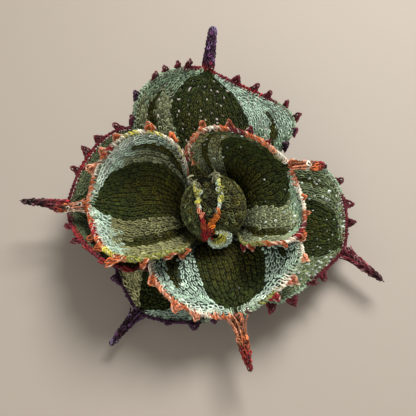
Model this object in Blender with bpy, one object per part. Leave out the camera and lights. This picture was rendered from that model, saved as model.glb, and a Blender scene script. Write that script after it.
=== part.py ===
# Crocheted agave rosette: seven cupped leaves with toothed, spined edgings round a stuffed bud.
# Metres, +Z up. The origin is the middle of the flat underside, and the front of the plant faces -Y.

import math

import bpy
import numpy as np

MM = 0.001

# Walls and gaps, in millimetres as all sizes here
GAP = 0.3
BLADE_THICK = 1.4
RIM_THICK = 2.2
TOOTH_THICK = 1.5
BLADE_INSET = 1.7
RIM_INSET = 1.2
RIM_OUT = 0.9

# Base: radius and height up its side
BASE_PROFILE = ((10.0, 0.0), (11.7, 2.5), (11.7, 10.6), (10.7, 11.6), (10.7, 12.6))
BASE_SIDES = 24

# Bud, the cord round its slit and the curled lip below it
BUD_CENTRE = (0.0, -2.0, 27.0)
BUD_RADII = (16.5, 16.5, 18.0)
BUD_SIDES, BUD_RINGS = 28, 16
SHELL_THICK = 1.6
SLIT_FROM, SLIT_TO = 10.0, 24.0
BUD_CORD = 1.1
CORD_SIDES = 6
CORD_OVERHANG = 0.7
LIP_RADIUS = 4.6
LIP_CORD = 1.6
LIP_WAY = (3.4, -15.4, -3.5)
LIP_STAND = 2.0
LIP_TILT = 38
LIP_FROM, LIP_TO = -200, 110
LIP_SQUASH = 0.85
LIP_TAPER = 0.3
# Directions from the bud's centre along the slit, front point first, and the slit's half width at each
SLIT_PATH = (
    (-3.4, -15.8, -3.0),
    (-3.2, -15.6, 5.5),
    (-2.4, -11.0, 12.8),
    (-2.0, -2.5, 16.0),
    (-4.5, 7.5, 13.5),
)
SLIT_HALF = (0.25, 1.8, 4.0, 4.6, 4.6)

# Leaf outline: where it is widest and how wide its base is, as shares, and how it closes at the tip
WIDEST = 0.56
BASE_WIDTH = 0.24
OUTLINE_POWER = 1.25
TIP_STRETCH = 1.3
TIP_POWER = 16
TIP_SHARE = 0.995

# Leaf section: how the cup steepens outwards, eases near the base and flares at the margin
CUP_POWER = 1.25
CUP_AT_BASE = 0.6
FLARE = 0.35
FLARE_FROM = 0.62
NARROWEST = 0.25
FOLD_REACH = 3.0
FOLD_FROM, FOLD_TO = 0.1, 0.9

# The raised band and the valley beside each margin: height, place and spread as shares of the half width
PLEAT = 1.1
RIDGE_AT, RIDGE_SPREAD = 0.60, 0.13
VALLEY_AT, VALLEY_SPREAD, VALLEY_DEPTH = 0.82, 0.09, 1.2
PLEATS_FULL, PLEATS_EASE, PLEATS_END = 0.18, 0.45, 0.85

# Edging: teeth counted from the tip, the gather at the spine's root, and the spine
TOOTH_PITCH = 11.8
TOOTH_HEIGHT = 4.2
TOOTH_HALF = 2.3
FIRST_TOOTH = 8.0
TOOTHLESS_BASE = 5.0
GATHER_HALF = 3.6
GATHER_HEIGHT = 2.2
SPINE_ROOT = 2.9
SPINE_END = 1.5
SPINE_START = 0.4
SPINE_RINGS = (0.02, 0.12, 0.3, 0.5, 0.7, 0.88, 1.0)
SPINE_SIDES = 8

# Each leaf: heading and sweep, start height, length and half width, rise of the midrib at its base and tip,
# how far each side cups, the fold along the midrib, roll at the tip, how blunt the tip is,
# spine length and its turn up and sideways (mm and degrees)
LEAVES = {
    "outer_back": dict(az=97.5, sweep=-13.0, z0=9.2, L=85.1, W=54.8, rise0=21.8, rise1=27.0,
                      cup_left=55.3, cup_right=71.0, fold=6.3, roll=40.1, tip=1.02,
                      spine=23.7, sp_up=10.9, sp_side=8.8),
    "outer_left": dict(az=173.8, sweep=10.8, z0=6.5, L=69.9, W=50.3, rise0=20.1, rise1=7.8,
                      cup_left=48.5, cup_right=31.5, fold=7.0, roll=-0.1, tip=1.35,
                      spine=25.0, sp_up=2.0, sp_side=-4.6),
    "outer_front": dict(az=236.2, sweep=-6.1, z0=4.0, L=53.6, W=38.8, rise0=0.5, rise1=6.0,
                       cup_left=39.2, cup_right=34.8, fold=4.2, roll=-0.8, tip=1.23,
                       spine=21.9, sp_up=2.1, sp_side=6.6),
    "outer_right": dict(az=-6.3, sweep=-24.7, z0=6.4, L=62.0, W=46.9, rise0=6.1, rise1=7.2,
                       cup_left=47.9, cup_right=20.2, fold=-4.6, roll=-7.4, tip=1.21,
                       spine=25.5, sp_up=-10.0, sp_side=-13.0),
    "inner_left": dict(az=185.6, sweep=-2.2, z0=12.4, L=60.8, W=45.6, rise0=46.1, rise1=-2.5,
                      cup_left=95.0, cup_right=131.5, fold=-14.4, roll=-12.2, tip=1.22,
                      spine=19.2, sp_up=-7.5, sp_side=7.6),
    "inner_front": dict(az=-82.8, sweep=7.0, z0=8.4, L=52.7, W=41.6, rise0=37.1, rise1=-6.5,
                       cup_left=46.7, cup_right=74.3, fold=-2.9, roll=5.4, tip=1.48,
                       spine=26.1, sp_up=3.5, sp_side=-2.3),
    "inner_right": dict(az=18.6, sweep=5.4, z0=11.0, L=45.6, W=51.9, rise0=67.1, rise1=23.4,
                       cup_left=122.3, cup_right=144.7, fold=-18.4, roll=43.7, tip=0.87,
                       spine=18.8, sp_up=5.8, sp_side=-37.9),
}

GREEN = (0.18, 0.21, 0.11, 1.0)
OLIVE = (0.13, 0.14, 0.05, 1.0)
BURGUNDY = (0.17, 0.03, 0.06, 1.0)
ORANGE = (0.60, 0.20, 0.07, 1.0)
YELLOW = (0.68, 0.60, 0.30, 1.0)

for old in list(bpy.data.objects):
    bpy.data.objects.remove(old, do_unlink=True)


def material(name, colour):
    made = bpy.data.materials.new(name)
    made.use_nodes = True
    shader = made.node_tree.nodes["Principled BSDF"]
    shader.inputs["Base Color"].default_value = colour
    shader.inputs["Roughness"].default_value = 0.85
    return made


def add_mesh(name, points, faces, colour, smooth=False, helper=False):
    mesh = bpy.data.meshes.new(name)
    mesh.from_pydata([tuple(float(c) * MM for c in p) for p in points], [], faces)
    mesh.materials.append(material(name, colour))
    if smooth:
        mesh.polygons.foreach_set("use_smooth", [True] * len(mesh.polygons))
    mesh.update()
    obj = bpy.data.objects.new(name, mesh)
    bpy.context.scene.collection.objects.link(obj)
    if helper:
        obj.hide_render = True
        obj.display_type = "WIRE"
    return obj


def boolean(obj, other, operation):
    cut = obj.modifiers.new(operation.title(), "BOOLEAN")
    cut.operation = operation
    cut.object = other
    cut.solver = "EXACT"


def smoothstep(a, b, x):
    t = np.clip((x - a) / (b - a), 0, 1)
    return t * t * (3 - 2 * t)


def unit(v):
    return v / np.linalg.norm(v, axis=-1, keepdims=True)


# Leaf surface


def half_width(leaf, u):
    """Half the leaf's width at u along it."""
    u = np.asarray(u, float)
    swell = np.sin(np.pi / 2 * np.clip(u / WIDEST, 0, 1)) ** OUTLINE_POWER
    rising = BASE_WIDTH + (1 - BASE_WIDTH) * swell
    x = np.clip((u - WIDEST) / (1 - WIDEST), 0, 1)
    return leaf["W"] * np.where(u < WIDEST, rising, (1 - x**2) ** (1 / leaf["tip"]))


def seat_radius(leaf):
    """Where the leaf's midrib starts, a small gap off the base at its own height."""
    radii, heights = zip(*BASE_PROFILE)
    tilt = abs(math.sin(math.radians(leaf["rise0"])))
    return float(np.interp(leaf["z0"], heights, radii)) + GAP + tilt * BLADE_THICK / 2


class Surface:
    """A cupped leaf as a grid of points over (s, t): s along the midrib and t across, in millimetres."""

    ROWS, HALF = 61, 50
    MARGIN = 9.0

    def __init__(self, leaf):
        self.leaf = leaf
        length, width = leaf["L"], leaf["W"]
        self.s = np.linspace(-self.MARGIN, length + self.MARGIN, self.ROWS)
        self.t = np.linspace(-width - self.MARGIN, width + self.MARGIN, 2 * self.HALF + 1)
        u = np.clip(self.s / length, 0, 1.15)
        middle, self.up, side = self.midrib(u)
        across, height = self.section(u)
        flat = middle[:, None] + side[:, None] * across[..., None] + self.up[:, None] * height[..., None]
        normal = self.normals(flat)
        self.points = flat + normal * self.pleats(u)[..., None]
        self.normal = self.normals(self.points)

    def midrib(self, u):
        """Points along the midrib, with the leaf's upward and sideways directions at each."""
        leaf = self.leaf
        rise = np.radians(leaf["rise0"] + (leaf["rise1"] - leaf["rise0"]) * u)
        head = np.radians(leaf["az"] + leaf["sweep"] * u)
        along = np.stack([np.cos(rise) * np.cos(head), np.cos(rise) * np.sin(head), np.sin(rise)], -1)
        step = self.s[1] - self.s[0]
        path = np.vstack([np.zeros(3), np.cumsum(0.5 * (along[1:] + along[:-1]) * step, 0)])
        at_start = np.array([np.interp(0.0, self.s, path[:, k]) for k in range(3)])
        az = math.radians(leaf["az"])
        radius = seat_radius(leaf)
        start = np.array([radius * math.cos(az), radius * math.sin(az), leaf["z0"]])
        level = np.stack([-np.sin(head), np.cos(head), 0 * head], -1)
        raised = np.cross(along, level)
        roll = np.radians(leaf["roll"] * u)[:, None]
        side = np.cos(roll) * level + np.sin(roll) * raised
        up = np.cos(roll) * raised - np.sin(roll) * level
        return path - at_start + start, up, side

    def share(self, u):
        """How far out each grid point lies, as a share of the leaf's half width there."""
        width = self.leaf["W"]
        own = half_width(self.leaf, np.clip(u, 0, TIP_SHARE))
        return np.abs(self.t[None, :]) / np.sqrt(np.maximum(own, NARROWEST * width) * width)[:, None]

    def section(self, u):
        """Across and height of each grid point in its own cross-section, by adding up its slope."""
        share = self.share(u)
        bend = np.clip(share, 0, 1.1) ** CUP_POWER * (1 - FLARE * smoothstep(FLARE_FROM, 1.0, share))
        cup = np.where(self.t > 0, self.leaf["cup_left"], self.leaf["cup_right"])
        slope = cup * bend * (CUP_AT_BASE + (1 - CUP_AT_BASE) * smoothstep(0.0, 0.5, u))[:, None]
        crease = 1 - np.exp(-((self.t / FOLD_REACH) ** 2))
        slope = np.radians(slope + self.leaf["fold"] * smoothstep(FOLD_FROM, FOLD_TO, u)[:, None] * crease)
        step = self.t[1] - self.t[0]
        across, height = np.zeros_like(slope), np.zeros_like(slope)
        for turn in (1, -1):
            for k in range(1, self.HALF + 1):
                here, last = self.HALF + turn * k, self.HALF + turn * (k - 1)
                mean = 0.5 * (slope[:, here] + slope[:, last])
                across[:, here] = across[:, last] + turn * np.cos(mean) * step
                height[:, here] = height[:, last] + np.sin(mean) * step
        return across, height

    def pleats(self, u):
        """A raised band and a valley beside each margin, strongest near the base."""
        width = half_width(self.leaf, np.clip(u, 0, TIP_SHARE))
        share = np.abs(self.t[None, :]) / np.maximum(width, 6.0)[:, None]
        ridge = np.exp(-(((share - RIDGE_AT) / RIDGE_SPREAD) ** 2))
        valley = VALLEY_DEPTH * np.exp(-(((share - VALLEY_AT) / VALLEY_SPREAD) ** 2))
        fade = smoothstep(0.0, PLEATS_FULL, u) * (1 - smoothstep(PLEATS_EASE, PLEATS_END, u))
        return PLEAT * (ridge - valley) * fade[:, None]

    @staticmethod
    def normals(points):
        return unit(np.cross(np.gradient(points, axis=0), np.gradient(points, axis=1)))

    def at(self, s, t, lift=0.0):
        """The point at (s, t), lifted off the middle of the leaf along its normal."""
        s, t = np.broadcast_arrays(np.asarray(s, float), np.asarray(t, float))
        row = np.clip((s - self.s[0]) / (self.s[1] - self.s[0]), 0, len(self.s) - 1.001)
        col = np.clip((t - self.t[0]) / (self.t[1] - self.t[0]), 0, len(self.t) - 1.001)
        i, j = row.astype(int), col.astype(int)
        a, b = (row - i)[..., None], (col - j)[..., None]

        def mixed(grid):
            near = grid[i, j] * (1 - b) + grid[i, j + 1] * b
            far = grid[i + 1, j] * (1 - b) + grid[i + 1, j + 1] * b
            return near * (1 - a) + far * a

        return mixed(self.points) + unit(mixed(self.normal)) * np.asarray(lift, float)[..., None]


def edge(leaf, u, out):
    """(s, t) on the left margin at u, moved square to it by out."""
    u = np.asarray(u, float)
    step = 0.01
    rise = half_width(leaf, u + step) - half_width(leaf, np.maximum(u - step, 0))
    slant = np.where(u < WIDEST, np.hypot(1, rise / (2 * step * leaf["L"])), 1.0)
    return u * (leaf["L"] + TIP_STRETCH * out), half_width(leaf, u) + out * slant * (1 - u**TIP_POWER)


# Blade

# Rows of the blade's grid along the leaf, and its columns from the midrib out, closest at the pleats
BLADE_STATIONS = np.array([0, 0.09, 0.18, 0.27, 0.36, 0.45, 0.54, 0.63, 0.72, 0.80, 0.87, 0.93, 0.975])
BLADE_HALF = np.array([0.2, 0.4, 0.58, 0.7, 0.8, 0.9, 1.0])
BLADE_SHARES = np.concatenate([-BLADE_HALF[::-1], [0.0], BLADE_HALF])


def blade(name, leaf, surface):
    """A closed leaf of even thickness, with the same triangles on both of its faces."""
    rows, cols = len(BLADE_STATIONS), len(BLADE_SHARES)
    s, t = edge(leaf, BLADE_STATIONS, -BLADE_INSET)
    s = np.repeat(s[:, None], cols, axis=1)
    t = t[:, None] * BLADE_SHARES[None, :]
    tip_s = leaf["L"] - TIP_STRETCH * BLADE_INSET
    layers = []
    for lift in (-BLADE_THICK / 2, BLADE_THICK / 2):
        grid = surface.at(s, t, lift).reshape(-1, 3)
        layers.append(np.vstack([grid, surface.at(tip_s, 0.0, lift)[None]]))
    points = np.vstack(layers)
    count, tip = rows * cols + 1, rows * cols
    top = []
    for i in range(rows - 1):
        for j in range(cols - 1):
            a, b = i * cols + j, i * cols + j + 1
            c, d = a + cols, b + cols
            top += [(a, c, d), (a, d, b)] if j < (cols - 1) // 2 else [(a, c, b), (c, d, b)]
    last = (rows - 1) * cols
    top += [(last + j, tip, last + j + 1) for j in range(cols - 1)]
    right, left = [i * cols for i in range(rows)], [i * cols + cols - 1 for i in range(rows)]
    outline = right + [tip] + left[::-1] + list(range(cols - 2, 0, -1))
    faces = [tuple(v + count for v in f) for f in top] + [f[::-1] for f in top]
    for k, a in enumerate(outline):
        b = outline[(k + 1) % len(outline)]
        faces += [(a, b, b + count), (a, b + count, a + count)]
    add_mesh(name, points, faces, GREEN)


# Edging


def tube(path, radii, sides):
    """Points and faces of a closed tube along path, with round ends drawn to a point."""
    path = np.asarray(path, float)
    along = unit(np.gradient(path, axis=0))
    ref = np.array([0.0, 0.0, 1.0]) if abs(along[0][2]) < 0.9 else np.array([1.0, 0.0, 0.0])
    points = []
    for centre, way, radius in zip(path, along, radii):
        across = unit(np.cross(way, ref))
        ref = np.cross(across, way)
        for k in range(sides):
            turn = 2 * math.pi * k / sides
            points.append(centre + radius * (math.cos(turn) * across + math.sin(turn) * ref))
    faces = []
    for i in range(len(path) - 1):
        for k in range(sides):
            a, b = i * sides + k, i * sides + (k + 1) % sides
            faces.append((b, a, a + sides, b + sides))
    first, last = len(points), len(points) + 1
    points += [path[0] - along[0] * radii[0] * 0.5, path[-1] + along[-1] * radii[-1] * 0.5]
    end = (len(path) - 1) * sides
    for k in range(sides):
        nxt = (k + 1) % sides
        faces += [(first, k, nxt), (last, end + nxt, end + k)]
    return points, faces


def rim_stations(leaf):
    """u and outward reach of the stations up the left margin, with three for each tooth."""
    u = np.linspace(0, 1, 400) ** 0.9
    s, t = edge(leaf, u, 0.0)
    run = np.concatenate([[0], np.cumsum(np.hypot(np.diff(s), np.diff(t)))])
    count = int((run[-1] - FIRST_TOOTH - TOOTHLESS_BASE) // TOOTH_PITCH)
    stations = [(0.0, 0.0)]
    for k in range(count):
        middle = run[-1] - FIRST_TOOTH - TOOTH_PITCH * (count - 1 - k)
        stations += [(middle - TOOTH_HALF, 0.0), (middle, TOOTH_HEIGHT), (middle + TOOTH_HALF, 0.0)]
        if k < count - 1:
            stations.append((middle + TOOTH_PITCH / 2, 0.0))
    for share in (0.0, 0.5, 1.0):
        stations.append((run[-1] - GATHER_HALF * (1 - share), GATHER_HEIGHT * share))
    return np.interp([a for a, _ in stations], run, u), np.array([b for _, b in stations])


def rim(name, leaf, surface, colour):
    """The edging round one leaf with its teeth, joined to its spine."""
    u, reach = rim_stations(leaf)
    inner = np.stack(edge(leaf, u, -RIM_INSET), -1)
    outer = np.stack(edge(leaf, u, RIM_OUT), -1)
    way = unit(outer - inner)
    outer = outer + way * reach[:, None]
    outer[-1] = (leaf["L"] + TIP_STRETCH * RIM_OUT + reach[-1], 0.0)
    inner[-1] = (leaf["L"] - TIP_STRETCH * RIM_INSET, 0.0)
    flip = np.array([1.0, -1.0])
    inner = np.vstack([inner, inner[-2::-1] * flip])
    outer = np.vstack([outer, outer[-2::-1] * flip])
    reach = np.concatenate([reach, reach[-2::-1]])
    thick_out = np.where(reach > TOOTH_HEIGHT / 2, TOOTH_THICK, RIM_THICK) / 2
    thick_in = np.full(len(reach), RIM_THICK / 2)
    corners = [
        surface.at(inner[:, 0], inner[:, 1], -thick_in),
        surface.at(outer[:, 0], outer[:, 1], -thick_out),
        surface.at(outer[:, 0], outer[:, 1], thick_out),
        surface.at(inner[:, 0], inner[:, 1], thick_in),
    ]
    points = np.stack(corners, 1).reshape(-1, 3)
    faces = []
    for i in range(len(reach) - 1):
        for k in range(4):
            a, b = 4 * i + k, 4 * i + (k + 1) % 4
            faces += [(a, a + 4, b + 4), (a, b + 4, b)]
    end = 4 * (len(reach) - 1)
    faces += [(0, 1, 2), (0, 2, 3), (end, end + 2, end + 1), (end, end + 3, end + 2)]
    strip = add_mesh(name, points, faces, colour)
    spine = spine_of(name + "_spine", leaf, surface, colour)
    boolean(strip, spine, "UNION")


def spine_of(name, leaf, surface, colour):
    """The long terminal spine, whose root is sunk in the edging at the leaf's tip."""
    tip = surface.at(leaf["L"], 0.0)
    way = unit(tip - surface.at(leaf["L"] - 3.0, 0.0))
    normal = unit(np.cross(way, np.cross(surface.up[-5], way)))
    side = np.cross(normal, way)
    up, turn = math.radians(leaf["sp_up"]), math.radians(leaf["sp_side"])
    level = way * math.cos(turn) + side * math.sin(turn)
    aim = unit(level * math.cos(up) + normal * math.sin(up))
    shares = np.array(SPINE_RINGS)
    path = tip + way * SPINE_START + aim * leaf["spine"] * shares[:, None]
    radii = SPINE_ROOT + (SPINE_END - SPINE_ROOT) * shares
    points, faces = tube(path, radii, SPINE_SIDES)
    return add_mesh(name, points, faces, colour, helper=True)


# Base and bud


def turned(profile, sides):
    """Points and faces of a profile turned about the Z axis, closed by its first and last points."""
    points, rings = [], []
    for radius, z in profile:
        if radius == 0:
            rings.append([len(points)])
            points.append((0.0, 0.0, z))
        else:
            rings.append(list(range(len(points), len(points) + sides)))
            for k in range(sides):
                turn = 2 * math.pi * k / sides
                points.append((radius * math.cos(turn), radius * math.sin(turn), z))
    faces = []
    for low, high in zip(rings, rings[1:]):
        for k in range(sides):
            n = (k + 1) % sides
            if len(low) == 1:
                faces.append((low[0], high[n], high[k]))
            elif len(high) == 1:
                faces.append((low[k], low[n], high[0]))
            else:
                faces.append((low[k], low[n], high[n], high[k]))
    return points, faces


def ellipsoid(radii, sides, rings):
    """Points and faces of an egg shape about the bud's centre."""
    profile = []
    for k in range(rings + 1):
        turn = math.pi * k / rings - math.pi / 2
        on_axis = k in (0, rings)
        profile.append((0 if on_axis else math.cos(turn), math.sin(turn)))
    points, faces = turned(profile, sides)
    return np.array(points) * np.array(radii) + np.array(BUD_CENTRE), faces


def base():
    """The stuffed base: its top is dished so that the bud sits in it."""
    profile = [(0, 0.0), *BASE_PROFILE, (0, BASE_PROFILE[-1][1])]
    points, faces = turned(profile, BASE_SIDES)
    body = add_mesh("base", points, faces, OLIVE, smooth=True)
    points, faces = ellipsoid(np.array(BUD_RADII) + GAP, BUD_SIDES, BUD_RINGS)
    boolean(body, add_mesh("base_dish", points, faces, OLIVE, helper=True), "DIFFERENCE")


def on_bud(way, lift):
    """The point that lies lift outside the bud's surface along each direction from its centre."""
    way = unit(np.asarray(way, float))
    radii = np.array(BUD_RADII) + lift
    return way / np.linalg.norm(way / radii, axis=-1, keepdims=True) + np.array(BUD_CENTRE)


def slit_line(steps):
    """Directions along the middle of the slit and across it, and the slit's half width, front point first."""
    seen = np.array(SLIT_PATH)
    knots = np.linspace(0, 1, len(seen))
    share = np.linspace(0, 1, steps)
    way = np.stack([np.interp(share, knots, seen[:, k]) for k in range(3)], -1)
    way = unit(way)
    across = unit(np.cross(way, np.gradient(way, axis=0)))
    return way, across, np.interp(share, knots, SLIT_HALF)


def bud():
    """A shell with a V-shaped slit, and the inner ball that shows through it."""
    points, faces = ellipsoid(np.array(BUD_RADII) - SHELL_THICK - GAP, BUD_SIDES, BUD_RINGS)
    add_mesh("bud_core", points, faces, OLIVE, smooth=True)
    points, faces = ellipsoid(BUD_RADII, BUD_SIDES, BUD_RINGS)
    shell = add_mesh("bud_shell", points, faces, OLIVE, smooth=True)
    points, faces = ellipsoid(np.array(BUD_RADII) - SHELL_THICK, BUD_SIDES, BUD_RINGS)
    hollow = add_mesh("bud_hollow", points, faces, OLIVE, helper=True)
    way, across, half = slit_line(9)
    across = across * half[:, None]
    rings = []
    for w, x in zip(way, across):
        low, high = w * SLIT_FROM, w * SLIT_TO
        rings += [low - x, low + x, high + x, high - x]
    points = np.array(rings) + np.array(BUD_CENTRE)
    faces = []
    for i in range(len(way) - 1):
        for k in range(4):
            a, b = 4 * i + k, 4 * i + (k + 1) % 4
            faces.append((a, b, b + 4, a + 4))
    end = 4 * (len(way) - 1)
    faces += [(3, 2, 1, 0), (end, end + 1, end + 2, end + 3)]
    slit = add_mesh("bud_slit", points, faces, OLIVE, helper=True)
    boolean(shell, hollow, "DIFFERENCE")
    boolean(shell, slit, "DIFFERENCE")


def bud_edging():
    """One cord down the left side of the slit to its front point and up the right side."""
    way, across, half = slit_line(12)
    middle = way * BUD_RADII[0]
    across = across * (half + BUD_CORD * CORD_OVERHANG)[:, None]
    path = on_bud(np.vstack([(middle - across)[:0:-1], (middle + across)[1:]]), GAP + BUD_CORD)
    points, faces = tube(path, np.full(len(path), BUD_CORD), CORD_SIDES)
    add_mesh("bud_edging", points, faces, ORANGE, smooth=True)


def bud_lip():
    """A small curled loop that stands out from the bud, low on the right of the slit's point."""
    centre = on_bud(LIP_WAY, GAP + LIP_CORD + LIP_STAND)
    outward = unit(np.array(LIP_WAY))
    side = unit(np.cross(outward, (0, 0, 1)))
    tilt = math.radians(LIP_TILT)
    up = np.cross(side, outward) * math.cos(tilt) - outward * math.sin(tilt)
    turns = np.radians(np.linspace(LIP_FROM, LIP_TO, 15))
    path = [centre + LIP_RADIUS * (math.cos(a) * side + LIP_SQUASH * math.sin(a) * up) for a in turns]
    radii = LIP_CORD * (1 - LIP_TAPER + LIP_TAPER * np.sin(np.linspace(0, math.pi, len(path))))
    points, faces = tube(path, radii, CORD_SIDES)
    add_mesh("bud_lip", points, faces, YELLOW, smooth=True)


surfaces = {name: Surface(leaf) for name, leaf in LEAVES.items()}
for name, leaf in LEAVES.items():
    blade(name + "_blade", leaf, surfaces[name])
    rim(name + "_edging", leaf, surfaces[name], BURGUNDY if name.startswith("outer") else ORANGE)
base()
bud()
bud_edging()
bud_lip()
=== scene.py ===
# Looks of the crocheted agave rosette: loops of yarn over thin cloth, stitch by stitch.
# The geometry code works in millimetres in the CAD frame, and meshes are written in metres.

import math

import bpy
import numpy as np
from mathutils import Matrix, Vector


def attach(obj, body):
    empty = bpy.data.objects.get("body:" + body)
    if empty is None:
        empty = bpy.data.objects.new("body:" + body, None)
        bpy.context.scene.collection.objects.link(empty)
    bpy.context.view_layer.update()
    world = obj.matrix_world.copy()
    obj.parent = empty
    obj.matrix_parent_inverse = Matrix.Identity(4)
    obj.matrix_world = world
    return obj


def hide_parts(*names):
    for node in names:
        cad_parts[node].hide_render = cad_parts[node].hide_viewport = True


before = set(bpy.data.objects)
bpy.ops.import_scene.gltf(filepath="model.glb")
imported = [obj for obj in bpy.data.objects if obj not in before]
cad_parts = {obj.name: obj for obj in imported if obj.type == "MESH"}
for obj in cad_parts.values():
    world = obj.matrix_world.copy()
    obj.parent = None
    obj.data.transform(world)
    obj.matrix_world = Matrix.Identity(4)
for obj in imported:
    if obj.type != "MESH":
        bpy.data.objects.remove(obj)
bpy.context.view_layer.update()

MM = 0.001
rng = np.random.default_rng(41)


def smoothstep(a, b, x):
    t = np.clip((x - a) / (b - a), 0, 1)
    return t * t * (3 - 2 * t)


def unit(v):
    return v / np.maximum(np.linalg.norm(v, axis=-1, keepdims=True), 1e-9)


def hump(x, at, spread):
    return np.exp(-(((x - at) / spread) ** 2))


def run_along(points):
    """Distance from the first point to each point."""
    return np.concatenate([[0], np.cumsum(np.linalg.norm(np.diff(points, axis=0), axis=1))])


def new_object(name, data):
    obj = bpy.data.objects.new(name, data)
    bpy.context.scene.collection.objects.link(obj)
    return obj


# The parts' shapes, from the same values as the CAD

GAP = 0.3
BLADE_THICK = 1.4
BASE_PROFILE = ((10.0, 0.0), (11.7, 2.5), (11.7, 10.6), (10.7, 11.6), (10.7, 12.6))
BUD_CENTRE = np.array([0.0, -2.0, 27.0])
BUD_RADII = np.array([16.5, 16.5, 18.0])
SHELL_THICK = 1.6
BUD_CORD = 1.1
CORD_OVERHANG = 0.7
LIP_CORD = 1.6
LIP_WAY = (3.4, -15.4, -3.5)
LIP_STAND = 2.0
LIP_TILT = 38
LIP_SQUASH = 0.85
SLIT_PATH = (
    (-3.4, -15.8, -3.0),
    (-3.2, -15.6, 5.5),
    (-2.4, -11.0, 12.8),
    (-2.0, -2.5, 16.0),
    (-4.5, 7.5, 13.5),
)
SLIT_HALF = (0.25, 1.8, 4.0, 4.6, 4.6)
WIDEST = 0.56
BASE_WIDTH = 0.24
OUTLINE_POWER = 1.25
TIP_STRETCH = 1.3
TIP_POWER = 16
TIP_SHARE = 0.995
CUP_POWER = 1.25
CUP_AT_BASE = 0.6
FLARE = 0.35
FLARE_FROM = 0.62
NARROWEST = 0.25
FOLD_REACH = 3.0
FOLD_FROM, FOLD_TO = 0.1, 0.9
TOOTH_PITCH = 11.8
FIRST_TOOTH = 8.0
TOOTHLESS_BASE = 5.0
SPINE_START = 0.4

LEAVES = {
    "outer_back": dict(az=97.5, sweep=-13.0, z0=9.2, L=85.1, W=54.8, rise0=21.8, rise1=27.0,
                      cup_left=55.3, cup_right=71.0, fold=6.3, roll=40.1, tip=1.02,
                      spine=23.7, sp_up=10.9, sp_side=8.8),
    "outer_left": dict(az=173.8, sweep=10.8, z0=6.5, L=69.9, W=50.3, rise0=20.1, rise1=7.8,
                      cup_left=48.5, cup_right=31.5, fold=7.0, roll=-0.1, tip=1.35,
                      spine=25.0, sp_up=2.0, sp_side=-4.6),
    "outer_front": dict(az=236.2, sweep=-6.1, z0=4.0, L=53.6, W=38.8, rise0=0.5, rise1=6.0,
                       cup_left=39.2, cup_right=34.8, fold=4.2, roll=-0.8, tip=1.23,
                       spine=21.9, sp_up=2.1, sp_side=6.6),
    "outer_right": dict(az=-6.3, sweep=-24.7, z0=6.4, L=62.0, W=46.9, rise0=6.1, rise1=7.2,
                       cup_left=47.9, cup_right=20.2, fold=-4.6, roll=-7.4, tip=1.21,
                       spine=25.5, sp_up=-10.0, sp_side=-13.0),
    "inner_left": dict(az=185.6, sweep=-2.2, z0=12.4, L=60.8, W=45.6, rise0=46.1, rise1=-2.5,
                      cup_left=95.0, cup_right=131.5, fold=-14.4, roll=-12.2, tip=1.22,
                      spine=19.2, sp_up=-7.5, sp_side=7.6),
    "inner_front": dict(az=-82.8, sweep=7.0, z0=8.4, L=52.7, W=41.6, rise0=37.1, rise1=-6.5,
                       cup_left=46.7, cup_right=74.3, fold=-2.9, roll=5.4, tip=1.48,
                       spine=26.1, sp_up=3.5, sp_side=-2.3),
    "inner_right": dict(az=18.6, sweep=5.4, z0=11.0, L=45.6, W=51.9, rise0=67.1, rise1=23.4,
                       cup_left=122.3, cup_right=144.7, fold=-18.4, roll=43.7, tip=0.87,
                       spine=18.8, sp_up=5.8, sp_side=-37.9),
}

# How far each leaf's dark middle reaches from its midrib, to the left and to the right
DARK_AT = (0, 0.2, 0.45, 0.65, 0.85, 1)
DARK_REACH = {
    "outer_back": ((9, 12, 18, 28, 19, 0), (9, 18, 26, 27, 18, 0)),
    "outer_left": ((9, 16, 21, 20, 12, 0), (9, 16, 21, 20, 12, 0)),
    "outer_front": ((8, 14, 17, 16, 11, 0), (8, 14, 17, 15, 8, 0)),
    "outer_right": ((9, 16, 23, 26, 22, 0), (9, 15, 20, 18, 10, 0)),
    "inner_left": ((3, 2, 6, 10, 6, 0), (8, 20, 28, 25, 17, 0)),
    "inner_front": ((9, 18, 23, 21, 17, 0), (9, 13, 14, 13, 10, 0)),
    "inner_right": ((8, 10, 24, 38, 26, 0), (6, 4, 9, 18, 12, 0)),
}
# Where the dark stripe lies, as a share of the way from the dark middle to the margin, half its width
# as such a share, and from where to where along the leaf it narrows to nothing. What differs on one
# side of one leaf is kept by the leaf's name and its side, 1 for the left and -1 for the right
STRIPE_AT = 0.55
STRIPE_ELSEWHERE = {("inner_left", 1): 0.42}
STRIPE_HALF = 0.10
STRIPE_HALF_ELSEWHERE = {("inner_left", -1): 0.085, ("inner_front", 1): 0.06}
STRIPE_FULL, STRIPE_END = 0.55, 0.74
PLEAT = 1.5
# Places along a leaf from its base to its tip, a little closer together towards the tip
ALONG_LEAF = np.linspace(0, 1, 500) ** 0.9


def half_width(leaf, u):
    """Half the leaf's width at u along it."""
    u = np.asarray(u, float)
    swell = np.sin(np.pi / 2 * np.clip(u / WIDEST, 0, 1)) ** OUTLINE_POWER
    rising = BASE_WIDTH + (1 - BASE_WIDTH) * swell
    x = np.clip((u - WIDEST) / (1 - WIDEST), 0, 1)
    return leaf["W"] * np.where(u < WIDEST, rising, (1 - x**2) ** (1 / leaf["tip"]))


def dark_reach(name, side, u):
    """How far the dark middle reaches at u, on the left (side 1) or the right (side -1)."""
    values = DARK_REACH[name][0 if side > 0 else 1]
    return np.mean([np.interp(u + d, DARK_AT, values) for d in np.linspace(-0.06, 0.06, 7)], 0)


def stripe_place(name, side):
    return STRIPE_ELSEWHERE.get((name, side), STRIPE_AT)


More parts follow.
